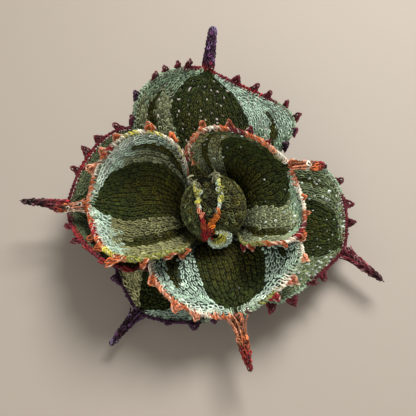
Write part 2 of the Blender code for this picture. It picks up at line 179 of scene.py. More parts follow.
class Surface:
    """A cupped leaf as a grid of points over (s, t): s along the midrib and t across."""

    ROWS, HALF = 61, 50
    MARGIN = 9.0

    def __init__(self, name):
        self.name, self.leaf = name, LEAVES[name]
        length, width = self.leaf["L"], self.leaf["W"]
        self.s = np.linspace(-self.MARGIN, length + self.MARGIN, self.ROWS)
        self.t = np.linspace(-width - self.MARGIN, width + self.MARGIN, 2 * self.HALF + 1)
        u = np.clip(self.s / length, 0, 1.15)
        middle, self.up, side = self.midrib(u)
        across, height = self.section(u)
        flat = middle[:, None] + side[:, None] * across[..., None] + self.up[:, None] * height[..., None]
        self.points = flat + self.normals(flat) * self.pleats(u)[..., None]
        self.normal = self.normals(self.points)

    def midrib(self, u):
        leaf = self.leaf
        rise = np.radians(leaf["rise0"] + (leaf["rise1"] - leaf["rise0"]) * u)
        head = np.radians(leaf["az"] + leaf["sweep"] * u)
        along = np.stack([np.cos(rise) * np.cos(head), np.cos(rise) * np.sin(head), np.sin(rise)], -1)
        step = self.s[1] - self.s[0]
        path = np.vstack([np.zeros(3), np.cumsum(0.5 * (along[1:] + along[:-1]) * step, 0)])
        at_start = np.array([np.interp(0.0, self.s, path[:, k]) for k in range(3)])
        radii, heights = zip(*BASE_PROFILE)
        tilt = abs(math.sin(math.radians(leaf["rise0"])))
        radius = float(np.interp(leaf["z0"], heights, radii)) + GAP + tilt * BLADE_THICK / 2
        az = math.radians(leaf["az"])
        start = np.array([radius * math.cos(az), radius * math.sin(az), leaf["z0"]])
        level = np.stack([-np.sin(head), np.cos(head), 0 * head], -1)
        raised = np.cross(along, level)
        roll = np.radians(leaf["roll"] * u)[:, None]
        side = np.cos(roll) * level + np.sin(roll) * raised
        return path - at_start + start, np.cos(roll) * raised - np.sin(roll) * level, side

    def section(self, u):
        width = self.leaf["W"]
        own = half_width(self.leaf, np.clip(u, 0, TIP_SHARE))
        share = np.abs(self.t[None, :]) / np.sqrt(np.maximum(own, NARROWEST * width) * width)[:, None]
        bend = np.clip(share, 0, 1.1) ** CUP_POWER * (1 - FLARE * smoothstep(FLARE_FROM, 1.0, share))
        cup = np.where(self.t > 0, self.leaf["cup_left"], self.leaf["cup_right"])
        slope = cup * bend * (CUP_AT_BASE + (1 - CUP_AT_BASE) * smoothstep(0.0, 0.5, u))[:, None]
        crease = 1 - hump(self.t, 0, FOLD_REACH)
        slope = np.radians(slope + self.leaf["fold"] * smoothstep(FOLD_FROM, FOLD_TO, u)[:, None] * crease)
        step = self.t[1] - self.t[0]
        across, height = np.zeros_like(slope), np.zeros_like(slope)
        for turn in (1, -1):
            for k in range(1, self.HALF + 1):
                here, last = self.HALF + turn * k, self.HALF + turn * (k - 1)
                mean = 0.5 * (slope[:, here] + slope[:, last])
                across[:, here] = across[:, last] + turn * np.cos(mean) * step
                height[:, here] = height[:, last] + np.sin(mean) * step
        return across, height

    def pleats(self, u):
        """A ridge along each side of the dark middle and a valley at the dark stripe."""
        own = half_width(self.leaf, np.clip(u, 0, TIP_SHARE))[:, None]
        found = np.zeros((len(u), len(self.t)))
        for side in (1, -1):
            reach = dark_reach(self.name, side, u)[:, None]
            share = (side * self.t[None] - reach) / np.maximum(own - reach, 6.0)
            at = stripe_place(self.name, side)
            fold = hump(share, 0.42 * at, 0.34 * at) - 1.1 * hump(share, at, 0.26 * at)
            found += np.where(side * self.t > 0, fold, 0)
        return PLEAT * found * (smoothstep(0.0, 0.18, u) * (1 - smoothstep(0.5, 0.85, u)))[:, None]

    @staticmethod
    def normals(points):
        return unit(np.cross(np.gradient(points, axis=0), np.gradient(points, axis=1)))

    def both(self, s, t):
        """The point and the upward normal at (s, t)."""
        s, t = np.broadcast_arrays(np.asarray(s, float), np.asarray(t, float))
        row = np.clip((s - self.s[0]) / (self.s[1] - self.s[0]), 0, len(self.s) - 1.001)
        col = np.clip((t - self.t[0]) / (self.t[1] - self.t[0]), 0, len(self.t) - 1.001)
        i, j = row.astype(int), col.astype(int)
        a, b = (row - i)[..., None], (col - j)[..., None]

        def mixed(grid):
            near = grid[i, j] * (1 - b) + grid[i, j + 1] * b
            far = grid[i + 1, j] * (1 - b) + grid[i + 1, j + 1] * b
            return near * (1 - a) + far * a

        return mixed(self.points), unit(mixed(self.normal))

    def at(self, s, t, lift=0.0):
        point, normal = self.both(s, t)
        return point + normal * lift


def edge(leaf, u, out):
    """(s, t) on the left margin at u, moved square to it by out."""
    u = np.asarray(u, float)
    step = 0.01
    rise = half_width(leaf, u + step) - half_width(leaf, np.maximum(u - step, 0))
    slant = np.where(u < WIDEST, np.hypot(1, rise / (2 * step * leaf["L"])), 1.0)
    return u * (leaf["L"] + TIP_STRETCH * out), half_width(leaf, u) + out * slant * (1 - u**TIP_POWER)


# Meshes of yarn


class Yarn:
    """Gathers tubes and plain faces, each with a colour at its points, and writes them as one mesh."""

    def __init__(self):
        self.points, self.colours, self.faces = [], [], []
        self.count = 0

    def add(self, points, colours, *groups):
        """Each group is (faces, marks): corners, and (distance along, share round) the yarn at each."""
        for faces, marks in groups:
            marks = np.zeros((*faces.shape, 2)) if marks is None else marks
            self.faces.append((faces + self.count, marks))
        self.points.append(points)
        self.colours.append(np.broadcast_to(colours, points.shape))
        self.count += len(points)

    def tubes(self, paths, radius, ref, colours, sides=4, closed=True):
        """A tube along each path (n, k, 3). ref is a direction that is never along the path."""
        n, k, _ = paths.shape
        if closed:
            way = unit(np.roll(paths, -1, 1) - np.roll(paths, 1, 1))
        else:
            way = unit(np.gradient(paths, axis=1))
        one = unit(np.cross(way, np.broadcast_to(ref, paths.shape)))
        two = np.cross(way, one)
        turn = 2 * np.pi * np.arange(sides) / sides
        radius = np.broadcast_to(np.asarray(radius, float), (n, k))[..., None, None]
        ring = np.cos(turn)[:, None] * one[:, :, None] + np.sin(turn)[:, None] * two[:, :, None]
        points = (paths[:, :, None] + radius * ring).reshape(-1, 3)
        colours = np.repeat(np.broadcast_to(colours, (n, k, 3)).reshape(-1, 3), sides, 0)
        length = np.linalg.norm(np.roll(paths, -1, 1) - paths, axis=2)
        run = np.concatenate([np.zeros((n, 1)), np.cumsum(length, 1)], 1)
        spans = k if closed else k - 1
        first = (np.arange(n) * k * sides)[:, None, None]
        i, j = np.arange(spans)[None, :, None], np.arange(sides)[None, None, :]
        after, beside = (i + 1) % k, (j + 1) % sides
        pairs = ((i, j), (i, beside), (after, beside), (after, j))
        faces = np.stack([(first + a * sides + b).reshape(-1) for a, b in pairs], 1)
        here = np.broadcast_to(run[:, :spans, None], (n, spans, sides))
        there = np.broadcast_to(run[:, 1 : spans + 1, None], here.shape)
        low = np.broadcast_to(j / sides, here.shape)
        marks = np.stack([here, low, here, low + 1 / sides, there, low + 1 / sides, there, low], -1)
        groups = [(faces, marks.reshape(-1, 4, 2))]
        if not closed:
            begin = first[:, 0] + np.arange(sides)[None, :]
            groups += [(begin[:, ::-1], None), (begin + (k - 1) * sides, None)]
        self.add(points, colours, *groups)

    def sheet(self, grid, colours, keep):
        """A thin closed sheet from two layers of a grid (2, rows, columns, 3), without the cells
        that keep leaves out."""
        _, rows, cols, _ = grid.shape
        size = rows * cols
        index = np.arange(size).reshape(rows, cols)
        a, b, c, d = index[:-1, :-1], index[:-1, 1:], index[1:, 1:], index[1:, :-1]
        top = np.stack([a, d, c, b], -1)[keep]
        faces = [top[:, ::-1], top + size]
        padded = np.pad(keep, 1)
        for (di, dj), (p, q) in (((-1, 0), (a, b)), ((1, 0), (c, d)), ((0, -1), (d, a)), ((0, 1), (b, c))):
            other = padded[1 + di : 1 + di + keep.shape[0], 1 + dj : 1 + dj + keep.shape[1]]
            rim = keep & ~other
            faces.append(np.stack([p[rim], q[rim], q[rim] + size, p[rim] + size], -1))
        faces = np.concatenate(faces)
        used, faces = np.unique(faces, return_inverse=True)
        colours = np.concatenate([colours.reshape(-1, 3)] * 2)[used]
        self.add(grid.reshape(-1, 3)[used], colours, (faces.reshape(-1, 4), None))

    def write(self, name, slot, look, stands_for):
        points = np.concatenate(self.points) * MM
        colours = np.concatenate(self.colours)
        corners = np.concatenate([f.reshape(-1) for f, _ in self.faces])
        marks = np.concatenate([m.reshape(-1, 2) for _, m in self.faces])
        totals = np.concatenate([np.full(len(f), f.shape[1]) for f, _ in self.faces])
        mesh = bpy.data.meshes.new(name)
        mesh.vertices.add(len(points))
        mesh.vertices.foreach_set("co", points.astype(np.float32).ravel())
        mesh.loops.add(len(corners))
        mesh.loops.foreach_set("vertex_index", corners.astype(np.int32))
        mesh.polygons.add(len(totals))
        starts = np.concatenate([[0], np.cumsum(totals)[:-1]])
        mesh.polygons.foreach_set("loop_start", starts.astype(np.int32))
        mesh.polygons.foreach_set("use_smooth", np.ones(len(totals), bool))
        mesh.update(calc_edges=True)
        rgba = np.concatenate([colours, np.ones((len(colours), 1))], 1).astype(np.float32)
        mesh.color_attributes.new("yarn", "FLOAT_COLOR", "POINT").data.foreach_set("color", rgba.ravel())
        mesh.uv_layers.new(name="Ply").data.foreach_set("uv", marks.astype(np.float32).ravel())
        mesh.materials.append(look)
        if mesh.validate():
            print(name, "had faults that were mended")
        obj = new_object(name, mesh)
        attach(obj, "root")
        if stands_for:
            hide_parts(stands_for)
        print(name, int((totals - 2).sum()), "triangles")
        return obj


class Track:
    """A line to lay yarn along: its points, two directions that go with it, and how far along they are."""

    def __init__(self, points, one, two):
        self.run = run_along(points)
        self.length = self.run[-1]
        self.values = np.concatenate([points, one, two], 1)

    def at(self, places):
        v = np.stack([np.interp(places, self.run, column) for column in self.values.T], -1)
        return v[:, :3], unit(v[:, 3:6]), unit(v[:, 6:])


def track_along(path):
    """A track whose directions are square to the path and don't twist."""
    way = unit(np.gradient(path, axis=0))
    one = np.zeros_like(way)
    ref = np.array([0.0, 0.0, 1.0]) if abs(way[0][2]) < 0.9 else np.array([1.0, 0.0, 0.0])
    for k, w in enumerate(way):
        one[k] = unit(np.cross(w, ref))
        ref = np.cross(one[k], w)
    return Track(path, one, np.cross(one, way))


def placed(centre, one, two, three, shape):
    """Each shape (n, k, 3) set at its centre, with its three axes along one, two and three."""
    return centre[:, None] + np.einsum("nkc,ncd->nkd", shape, np.stack([one, two, three], 1))


def round_of(radius, pitch, k):
    """The turn of each stitch in round k, half a stitch on from those in the round before."""
    count = max(3, round(2 * math.pi * radius / pitch))
    return 2 * math.pi * (np.arange(count) + 0.5 * (k % 2)) / count


# A stitch: a closed loop with its wide foot under the cloth and its round head on top, as shares of
# its pitch, its width and its heights
LOOP_SIDE = np.array([(-0.42, 0.40, -0.8), (-0.14, 0.32, 0.3), (0.24, 0.45, 0.9), (0.60, 0.37, 1.0)])
LOOP = np.vstack([LOOP_SIDE, (0.76, 0.0, 0.92), LOOP_SIDE[::-1] * (1, -1, 1), (-0.66, 0.0, -1.0)])
# Half the thickness of the yarn in the dark middle and in the pale bands, and how far a stitch reaches
# above and below the cloth
YARN, PALE_YARN = 0.42, 0.36
HIGH = 0.62


def stitches(yarn, centre, along, up, pitch, width, colour, low=HIGH, high=HIGH, thick=YARN, lean=0.15):
    """A stitch at each centre, no two quite alike."""
    n = len(centre)
    across = unit(np.cross(up, along))
    turn = rng.normal(0, lean, (n, 1))
    turned = along * np.cos(turn) + across * np.sin(turn)
    along, across = turned, across * np.cos(turn) - along * np.sin(turn)
    size = [np.broadcast_to(v, n)[:, None] * rng.normal(1, 0.11, (n, 1)) for v in (pitch, width, low, high)]
    skew = rng.normal(0, 0.25, (n, 1)) * np.abs(LOOP[:, 1])
    x, y = size[0] * (LOOP[:, 0] + skew), size[1] * LOOP[:, 1]
    z = np.where(LOOP[:, 2] > 0, size[3], size[2]) * LOOP[:, 2]
    # Each stitch's tone varies at random, with a painted highlight on its head and painted shade at its
    # foot
    shade = np.exp(rng.normal(0, 0.2, (n, 1))) * (1 + 0.2 * LOOP[:, 2])
    paths = placed(centre, along, across, np.cross(along, across), np.stack([x, y, z], -1))
    yarn.tubes(paths, thick, up[:, None], colour[:, None] * shade[..., None])


# Colours, as seen on the yarn


def srgb(r, g, b):
    c = np.array([r, g, b]) / 255
    return np.where(c <= 0.04045, c / 12.92, ((c + 0.055) / 1.055) ** 2.4)


OLIVE = srgb(76, 70, 10)
DEEP = srgb(44, 54, 16)
BUD = srgb(100, 106, 62)
BUD_BROWN, BUD_GREY = srgb(68, 64, 24), srgb(98, 108, 70)
# Towards which side the bud's yarn turns greyer, and how much
BUD_LIT = np.array([-0.15, -0.35, -0.2])
# Pale yarns, some of them darker or lighter copies of one yarn as painted shade and light: D and F darker,
# for a leaf in shade and one in strong light, and K lighter, for a leaf that lies in shade
PALES = {
    "D": srgb(78, 88, 60),
    "F": srgb(112, 124, 90),
    "K": srgb(190, 188, 138),
    "S": srgb(127, 127, 86),
    "T": srgb(134, 140, 106),
    "U": srgb(138, 162, 134),
    "M": srgb(172, 194, 176),
    "W": srgb(204, 216, 202),
}
THREADS = {
    "W": srgb(228, 222, 202),
    "Y": srgb(196, 188, 78),
    "G": srgb(140, 142, 66),
    "O": srgb(184, 96, 52),
    "K": srgb(216, 142, 108),
    "R": srgb(146, 32, 36),
    "B": srgb(96, 25, 36),
    "N": srgb(44, 12, 18),
    "P": srgb(62, 31, 58),
    "L": srgb(112, 92, 128),
    "M": srgb(152, 172, 144),
    "S": srgb(150, 148, 116),
    "A": srgb(212, 118, 42),
    "I": srgb(202, 216, 200),
}

# The edging's threads from the leaf's base to its tip: the cord along the left and the right margin,
# the teeth on the left and the right, and the spine from its root
EDGINGS = {
    "outer_back": ("MMMMMMMBR", "MMMMMMBRBR", "BPBPBBB", "BBPBBBB", "BPPPPPL"),
    "outer_left": ("BBRBBBBRBB", "BRBBBBBRBB", "BBRBB", "BBBBB", "RRBBNNN"),
    "outer_front": ("PMPPMPPP", "PPPPBPPPP", "PPPPP", "PPPPP", "PNPPNPL"),
    "outer_right": ("MMMMMMBBB", "MMMMMMMBBB", "BBBBBB", "BBBBB", "BBBBBNN"),
    "inner_left": ("GGGGGGGGOYOROO", "MMWOWYWWYWYWROWOKO", "OOOOR", "OROOKR", "OWKWORR"),
    "inner_front": ("MWMWMWMWGMB", "GKWWOWOKOWOK", "OOOKRR", "KOROKO", "BOKOORRR"),
    "inner_right": ("GGGGGOWOKWOBOOKWO", "GGGGGGOWRBOWWKO", "OKOBO", "OROOOK", "OOKWOORB"),
}
# How large the teeth on the left and on the right are, where they aren't full size
TOOTH_SIZE = {"inner_right": (0.85, 0.62)}
# The pale bands' yarn from the leaf's base to its tip, on the left and on the right. Which yarn a leaf
# gets is partly painted light and shade, and the whitest yarn towards the tips is partly a painted
# highlight
PALE_BANDS = {
    "outer_back": ("STTTUU", "UMUMMM"),
    "outer_left": ("DDDDDD", "DDDDDD"),
    "outer_front": ("MMMMMM", "KKKKKK"),
    "outer_right": ("SFFFFT", "DFFFFF"),
    "inner_left": ("SSSSSMW", "TTTTMWW"),
    "inner_front": ("TUMMMW", "UUMMMW"),
    "inner_right": ("STTSDS", "TTTTUM"),
}
# How much farther along its run of yarns a pale band is at its outer side than at its inner one
BAND_SLANT = 0.15
BAND_SLANT_ELSEWHERE = {("inner_left", -1): 0.45}
# How unevenly the bands' edges lie, their yarn changes and the dark middle's colour runs
EDGE_MESS, CHANGE_MESS, DARK_MESS = 0.02, 0.04, 0.15
# How far one strand of each cord and of each tooth is turned to white on the inner leaves, and one of
# each tooth on the outer leaves. On the teeth that white is partly the yarn's own and partly a painted
# highlight along one edge
WHITENED, OUTER_WHITENED = 0.4, 0.05
# Threads of the loops from the edging into the leaf, along the left and the right margin
INWARD_LOOPS = {"inner_left": ("GGGGMWM", "MMWMMWMM"), "inner_front": ("GMMWMWMM", "GMMWMWM")}
# How far the teeth on the left and on the right lean, in radians, below 0 away from the bud
TOOTH_LEAN = {
    "inner_left": (-1.0, -0.5),
    "inner_front": (-0.3, -0.3),
    "inner_right": (-1.5, -1.1),
}


def threads(stops, share, yarns=THREADS):
    """The colour at each share (0 to 1) along an even run of named threads, with short changes."""
    table = np.array([yarns[c] for c in stops])
    x = np.clip(share, 0, 1) * (len(table) - 1)
    i = np.minimum(x.astype(int), len(table) - 2)
    f = smoothstep(0.25, 0.75, x - i)[..., None]
    return table[i] * (1 - f) + table[i + 1] * f


def thread_along(stops, length, bright=1.0):
    """A function that gives the colour at each distance along a yarn of that length."""

    def colour_at(places):
        return bright * threads(stops, places / length)

    return colour_at


def dyed(colour_at, places, drift, gain, spread):
    """The yarn's colour some way off each place, made lighter or darker at random."""
    n = len(places)
    return colour_at(places + rng.normal(0, drift, n)) * np.exp(rng.normal(gain, spread, (n, 1)))


# Materials


def set_inputs(tree, node, values):
    """Sets each input to its value, or links it where the value is another node's output."""
    for key, value in values.items():
        if isinstance(value, bpy.types.NodeSocket):
            tree.links.new(value, node.inputs[key])
        else:
            node.inputs[key].default_value = value


def add_node(tree, kind, values=None, **settings):
    """The outputs of a new node with these inputs and settings."""
    node = tree.nodes.new("ShaderNode" + kind)
    for key, value in settings.items():
        setattr(node, key, value)
    set_inputs(tree, node, values or {})
    return node.outputs


# How far apart the ridges of the twisted plies are along the yarn
PLY_PITCH = 1.3


def yarn_look(name, rough, sheen, fibre, ply=0.0):
    """Matt cotton: the yarn's own colours with uneven dye, fibres and the twist of its plies."""
    look = bpy.data.materials.new(name)
    look.use_nodes = True
    tree = look.node_tree
    colour = add_node(tree, "Attribute", attribute_name="yarn")["Color"]
    where = add_node(tree, "TexCoord")["Object"]
    dye = add_node(tree, "TexNoise", {"Vector": where, "Scale": 700, "Detail": 3})["Fac"]
    fibres = add_node(tree, "TexNoise", {"Vector": where, "Scale": 2000, "Detail": 2})["Fac"]
    height = add_node(tree, "Math", {0: dye, 1: fibres}, operation="ADD")[0]
    gain = add_node(tree, "MapRange", {0: height, 1: 0.65, 2: 1.35, 3: 1 - fibre, 4: 1 + fibre})["Result"]
    shade = add_node(tree, "Mix", {0: 1.0, 6: colour, 7: gain}, data_type="RGBA", blend_type="MULTIPLY")[2]
    if ply:
        parts = add_node(tree, "SeparateXYZ", {0: add_node(tree, "UVMap", uv_map="Ply")["UV"]})
        turned = add_node(tree, "Math", {0: parts["Y"], 1: 4 * math.pi}, operation="MULTIPLY")[0]
        turned = {0: parts["X"], 1: 2 * math.pi / PLY_PITCH, 2: turned}
        turned = add_node(tree, "Math", turned, operation="MULTIPLY_ADD")[0]
        wave = add_node(tree, "Math", {0: turned}, operation="SINE")[0]
        height = add_node(tree, "Math", {0: wave, 1: ply, 2: height}, operation="MULTIPLY_ADD")[0]
    bump = add_node(tree, "Bump", {"Strength": 0.6, "Distance": 0.00012, "Height": height})["Normal"]
    values = {"Base Color": shade, "Normal": bump, "Roughness": rough, "Specular IOR Level": 0.2}
    values |= {"Sheen Weight": sheen, "Sheen Roughness": 0.45}
    set_inputs(tree, tree.nodes["Principled BSDF"], values)
    return look


LEAF_LOOK = yarn_look("leaf_yarn", 0.8, 0.05, fibre=0.5, ply=0.8)
CLOTH_LOOK = yarn_look("leaf_cloth", 0.95, 0.02, fibre=0.5)
EDGE_LOOK = yarn_look("edging_yarn", 0.72, 0.1, fibre=0.4, ply=0.8)
BUD_LOOK = yarn_look("bud_yarn", 0.8, 0.05, fibre=0.5, ply=0.8)


# Leaves

DARK_SPACING, PALE_SPACING = 2.85, 2.75
DARK_PITCH, PALE_PITCH = 2.3, 2.7
CLOTH_THICK = 0.4
CLOTH_CELL = 1.3
# How bright the cloth is beside the stitches, a painted shade that darkens the gaps between them: in
# the dark middle and in the pale bands, and on some leaves in all of the pale bands or towards their tip
CLOTH_PAINTED_SHADE_DARK, CLOTH_PAINTED_SHADE_PALE = 0.3, 0.45
CLOTH_PAINTED_SHADE_ELSEWHERE = {"inner_front": 0.08, "inner_left": 0.2}
CLOTH_PAINTED_SHADE_AT_TIP = {"inner_left": 0.4}
# How far out from the margin the rows and the cloth end, so below 0 inside it
ROW_OUT, CLOTH_OUT = -1.3, -0.9
# The dark middle takes up no more than this share of the half width
DARK_MOST = 0.82
# Where rows would lie closer together than this, some of them stop and the others widen
NARROWEST_ROW = 1.9
# A stitch is as wide as its row, but between these, less what its own yarn takes up
NARROWEST_STITCH, WIDEST_STITCH = 1.6, 3.2
DARK_LESS, PALE_LESS = 1.3, 0.95
# How much higher and thicker the pale row beside the dark middle is
BEAD_HIGHER, BEAD_THICKER = 0.4, 0.06
STITCH_MESS, STITCH_LEAN = 0.16, 0.22
# Light dots: holes between stitches on the leaf that has the bright floor behind it, and on the others
# small pale knots, painted light that stands for light through such holes. How many, and how far along
# the leaf they start
HOLES = {"outer_back": (130, 0.3)}
LIGHT_SPECK_KNOTS = {"outer_right": (250, 0.12), "inner_right": (44, 0.42), "inner_front": (3, 0.3)}
HOLE_IN_CLOTH, HOLE_IN_STITCHES = 0.8, 1.2
# Knots in the dark middle and elsewhere: least and most bright, size and height above the cloth
DARK_KNOT = {"bright": (0.2, 0.8), "size": 0.4, "raised": 0.5}
PALE_KNOT = {"bright": (0.5, 1.1), "size": 0.85, "raised": 0.8}
KNOT_LOOP = {"low": 0.3, "high": 0.3, "thick": 0.34, "lean": 1.0}
# How far knots stray, how much smaller or larger they are, and the share kept in the dark middle
KNOT_SPREAD = 1.0
KNOT_SIZES = (0.8, 1.3)
DARK_KNOTS_KEPT = 0.45


def dot_places(dots, name, leaf):
    """The (s, t) of each dot, spread evenly by steps that never line up."""
    count, start = dots.get(name, (0, 0))
    step = np.arange(count)[:, None] * (0.7549, 0.5698) % 1
    u = start + (0.93 - start) * step[:, 0] + rng.normal(0, 0.012, count)
    t = 0.88 * (2 * step[:, 1] - 1) * half_width(leaf, u)
    return np.stack([u * leaf["L"], t], -1)


def clear_of(holes, s, t, reach):
    """Which places lie farther than reach from every hole."""
    if len(holes) == 0:
        return np.ones(np.shape(s), bool)
    away = np.hypot(s[..., None] - holes[:, 0], t[..., None] - holes[:, 1])
    return away.min(-1) > reach


def zones(name, leaf, u, out):
    """The s at each u, and the zones of rows as (side, inner t, outer t, spacing, pitch)."""
    s, t = edge(leaf, u, out)
    left, right = (np.minimum(dark_reach(name, side, u), DARK_MOST * t) for side in (1, -1))
    return s, (
        (-1, -right, -t, PALE_SPACING, PALE_PITCH),
        (0, -right, left, DARK_SPACING, DARK_PITCH),
        (1, left, t, PALE_SPACING, PALE_PITCH),
    )


def painted_shade_by_bud(u):
    """Painted shade: yarn is drawn darker down by the bud, where it lies in shade."""
    return 0.4 + 0.6 * smoothstep(0.05, 0.45, u)


def band_colour(name, u, side, share):
    """The yarn of a leaf's bands: dark middle, pale, dark stripe and pale again out to the edging."""
    shape = np.shape(u)
    share = share + rng.normal(0, EDGE_MESS, shape)
    half = STRIPE_HALF_ELSEWHERE.get((name, side), STRIPE_HALF)
    half = half * (1 - smoothstep(STRIPE_FULL, STRIPE_END, u))
    stripe = np.abs(share - stripe_place(name, side)) < half
    slant = BAND_SLANT_ELSEWHERE.get((name, side), BAND_SLANT)
    place = u + slant * (share - 0.5) + rng.normal(0, CHANGE_MESS, shape)
    pale = threads(PALE_BANDS[name][0 if side > 0 else 1], place, PALES)
    by_rim = 0.4 * (2 * share - 1) ** 2 if side == 0 else 0
    deep = np.clip(u * 1.1 + by_rim + rng.normal(0, DARK_MESS, shape), 0, 1)
    dark = OLIVE + (DEEP - OLIVE) * deep[..., None]
    # The bands' yarn is drawn darker down by the bud, a painted shade
    return np.where((side == 0) | stripe[..., None], dark, pale) * painted_shade_by_bud(u)[..., None]


def leaf_stitches(name, leaf, surface, holes):
    s, parts = zones(name, leaf, ALONG_LEAF, ROW_OUT)
    yarn = Yarn()
    for side, inner, outer, spacing, pitch in parts:
        rows = round(np.max(np.abs(outer - inner)) / spacing)
        less, radius = (PALE_LESS, PALE_YARN) if side else (DARK_LESS, YARN)
        for row in range(rows):
            share = (row + 0.5) / rows
            t = inner + share * (outer - inner)
            points, normals = surface.both(s, t)
            track = Track(points, normals, np.gradient(points, axis=0))
            places = np.arange(rng.uniform(0.3, 1.2) * pitch, track.length - 0.4 * pitch, pitch)
            width = np.interp(places, track.run, np.abs(outer - inner)) / rows
            halvings = np.ceil(np.log2(np.maximum(NARROWEST_ROW / np.maximum(width, 0.02), 1)))
            every = 2 ** halvings.astype(int)
            middle = places + 0.05 * pitch
            in_leaf = np.interp(middle, track.run, s), np.interp(middle, track.run, t)
            clear = clear_of(holes, *in_leaf, HOLE_IN_STITCHES)
            kept = (row % every == every // 2) & clear
            places, width, every = places[kept], width[kept], every[kept]
            if len(places) == 0:
                continue
            centre, up, along = track.at(places)
            at_u = np.interp(places, track.run, ALONG_LEAF)
            colour = band_colour(name, at_u, side, np.full(len(places), share))
            wide = np.clip(width * every, NARROWEST_STITCH, WIDEST_STITCH) - less
            beads = side != 0 and row == 0
            centre = centre + rng.normal(0, STITCH_MESS, centre.shape)
            high = HIGH + BEAD_HIGHER * beads
            thick = radius + BEAD_THICKER * beads
            stitches(yarn, centre, along, up, pitch, wide, colour, high=high, thick=thick, lean=STITCH_LEAN)
    painted_light_knots(yarn, name, leaf, surface)
    return yarn


def painted_light_knots(yarn, name, leaf, surface):
    """Small pale knots of yarn, painted light in place of light through holes, fewer and duller in the dark
    middle.
    """
    knots = dot_places(LIGHT_SPECK_KNOTS, name, leaf)
    if len(knots) == 0:
        return
    knots = knots + rng.normal(0, KNOT_SPREAD, knots.shape) * (knots[:, :1] < 0.85 * leaf["L"])
    s, t = knots.T
    left, right = (dark_reach(name, side, s / leaf["L"]) for side in (1, -1))
    in_dark = (t < left) & (-t < right)
    kept = ~in_dark | (rng.random(len(s)) < DARK_KNOTS_KEPT)
    s, t, in_dark = s[kept], t[kept], in_dark[kept]
    centre, up = surface.both(s, t)
    along = unit(surface.at(s + 1, t) - centre)
    dark, pale = (rng.uniform(*kind["bright"], len(s)) for kind in (DARK_KNOT, PALE_KNOT))
    tint = PALES["W"] * np.where(in_dark, dark, pale)[:, None]
    size, raised = (np.where(in_dark, DARK_KNOT[key], PALE_KNOT[key]) for key in ("size", "raised"))
    size = size * rng.uniform(*KNOT_SIZES, len(s))
    stitches(yarn, centre + raised[:, None] * up, along, up, size, size, tint, **KNOT_LOOP)


def leaf_cloth(name, leaf, surface, holes):
    """The thin cloth under the stitches: a closed sheet in the bands' colours, darker as painted shade in
    the gaps between stitches, with holes.
    """
    u = np.linspace(0, 1, int(leaf["L"] / CLOTH_CELL) + 1)
    s, parts = zones(name, leaf, u, CLOTH_OUT)
    across, colours = [], []
    for side, inner, outer, spacing, _ in parts:
        rows = round(np.max(np.abs(outer - inner)) / spacing)
        share = (np.arange(2 * rows) + 0.5) / (2 * rows)
        if side < 0:
            share = share[::-1]
        across.append(inner[:, None] + share * (outer - inner)[:, None])
        grid = np.broadcast_to(share, across[-1].shape)
        # The cloth is drawn darker than its band's yarn, a painted shade in the gaps between the stitches
        shade = CLOTH_PAINTED_SHADE_ELSEWHERE.get(name, CLOTH_PAINTED_SHADE_PALE) if side else CLOTH_PAINTED_SHADE_DARK
        at_tip = CLOTH_PAINTED_SHADE_AT_TIP.get(name, shade) if side else shade
        shade = shade + (at_tip - shade) * smoothstep(0.5, 0.85, u)[:, None, None]
        colours.append(shade * band_colour(name, np.broadcast_to(u[:, None], grid.shape), side, grid))
    for at, side in ((0, 0), (len(across) + 1, -1)):
        across.insert(at, parts[side][2][:, None])
        colours.insert(at, colours[side][:, -1:] if side else colours[0][:, :1])
    t = np.concatenate(across, 1)
    margin = np.maximum(edge(leaf, u, CLOTH_OUT)[1], 0.4)[:, None]
    t[:, [0, -1]] = margin * np.array([-1, 1])
    t = np.clip(t, -margin, margin) + np.linspace(-0.05, 0.05, t.shape[1])
    s = np.repeat(s[:, None], t.shape[1], 1)
    grid = np.stack([surface.at(s, t, -CLOTH_THICK / 2), surface.at(s, t, CLOTH_THICK / 2)])
    middle = [(v[1:, 1:] + v[:-1, 1:] + v[1:, :-1] + v[:-1, :-1]) / 4 for v in (s, t)]
    return grid, np.concatenate(colours, 1), clear_of(holes, *middle, HOLE_IN_CLOTH)


# Edgings


def margin_track(leaf, surface):
    """The margin from the left of the base round the tip, its outward and upward directions, and how
    far along the flat outline each point is."""

    def round_the_tip(out):
        half = np.stack(edge(leaf, ALONG_LEAF, out), -1)
        half[-1, 1] = 0
        return np.vstack([half, half[-2::-1] * (1, -1)])

    flat, flat_out = round_the_tip(0.0), round_the_tip(1.0)
    point, up = surface.both(*flat.T)
    out = surface.both(*flat_out.T)[0] - point
    return Track(point, unit(out), up), run_along(flat)


ROPE_STEP = 0.55


def rope(yarn, track, radius, thick, pitch, colour_at, mess, strands=3, whitened=0.0):
    """Strands twisted round a track, the last of them whitened."""
    places = np.arange(0, track.length, ROPE_STEP)
    centre, one, two = track.at(places)
    for k in range(strands):
        turn = 2 * np.pi * (places / pitch + k / strands) + mess * np.sin(places * 0.9 + 2 * k)
        away = radius * (np.cos(turn)[:, None] * one + np.sin(turn)[:, None] * two)
        tint = colour_at(places + rng.normal(0, 1.5))
        tint = tint + (THREADS["W"] - tint) * (whitened if k == strands - 1 else 0)
        tint = tint * np.exp(rng.normal(0, 0.25, len(places)))[:, None]
        yarn.tubes((centre + away)[None], thick, unit(away)[None], tint[None], sides=5, closed=False)


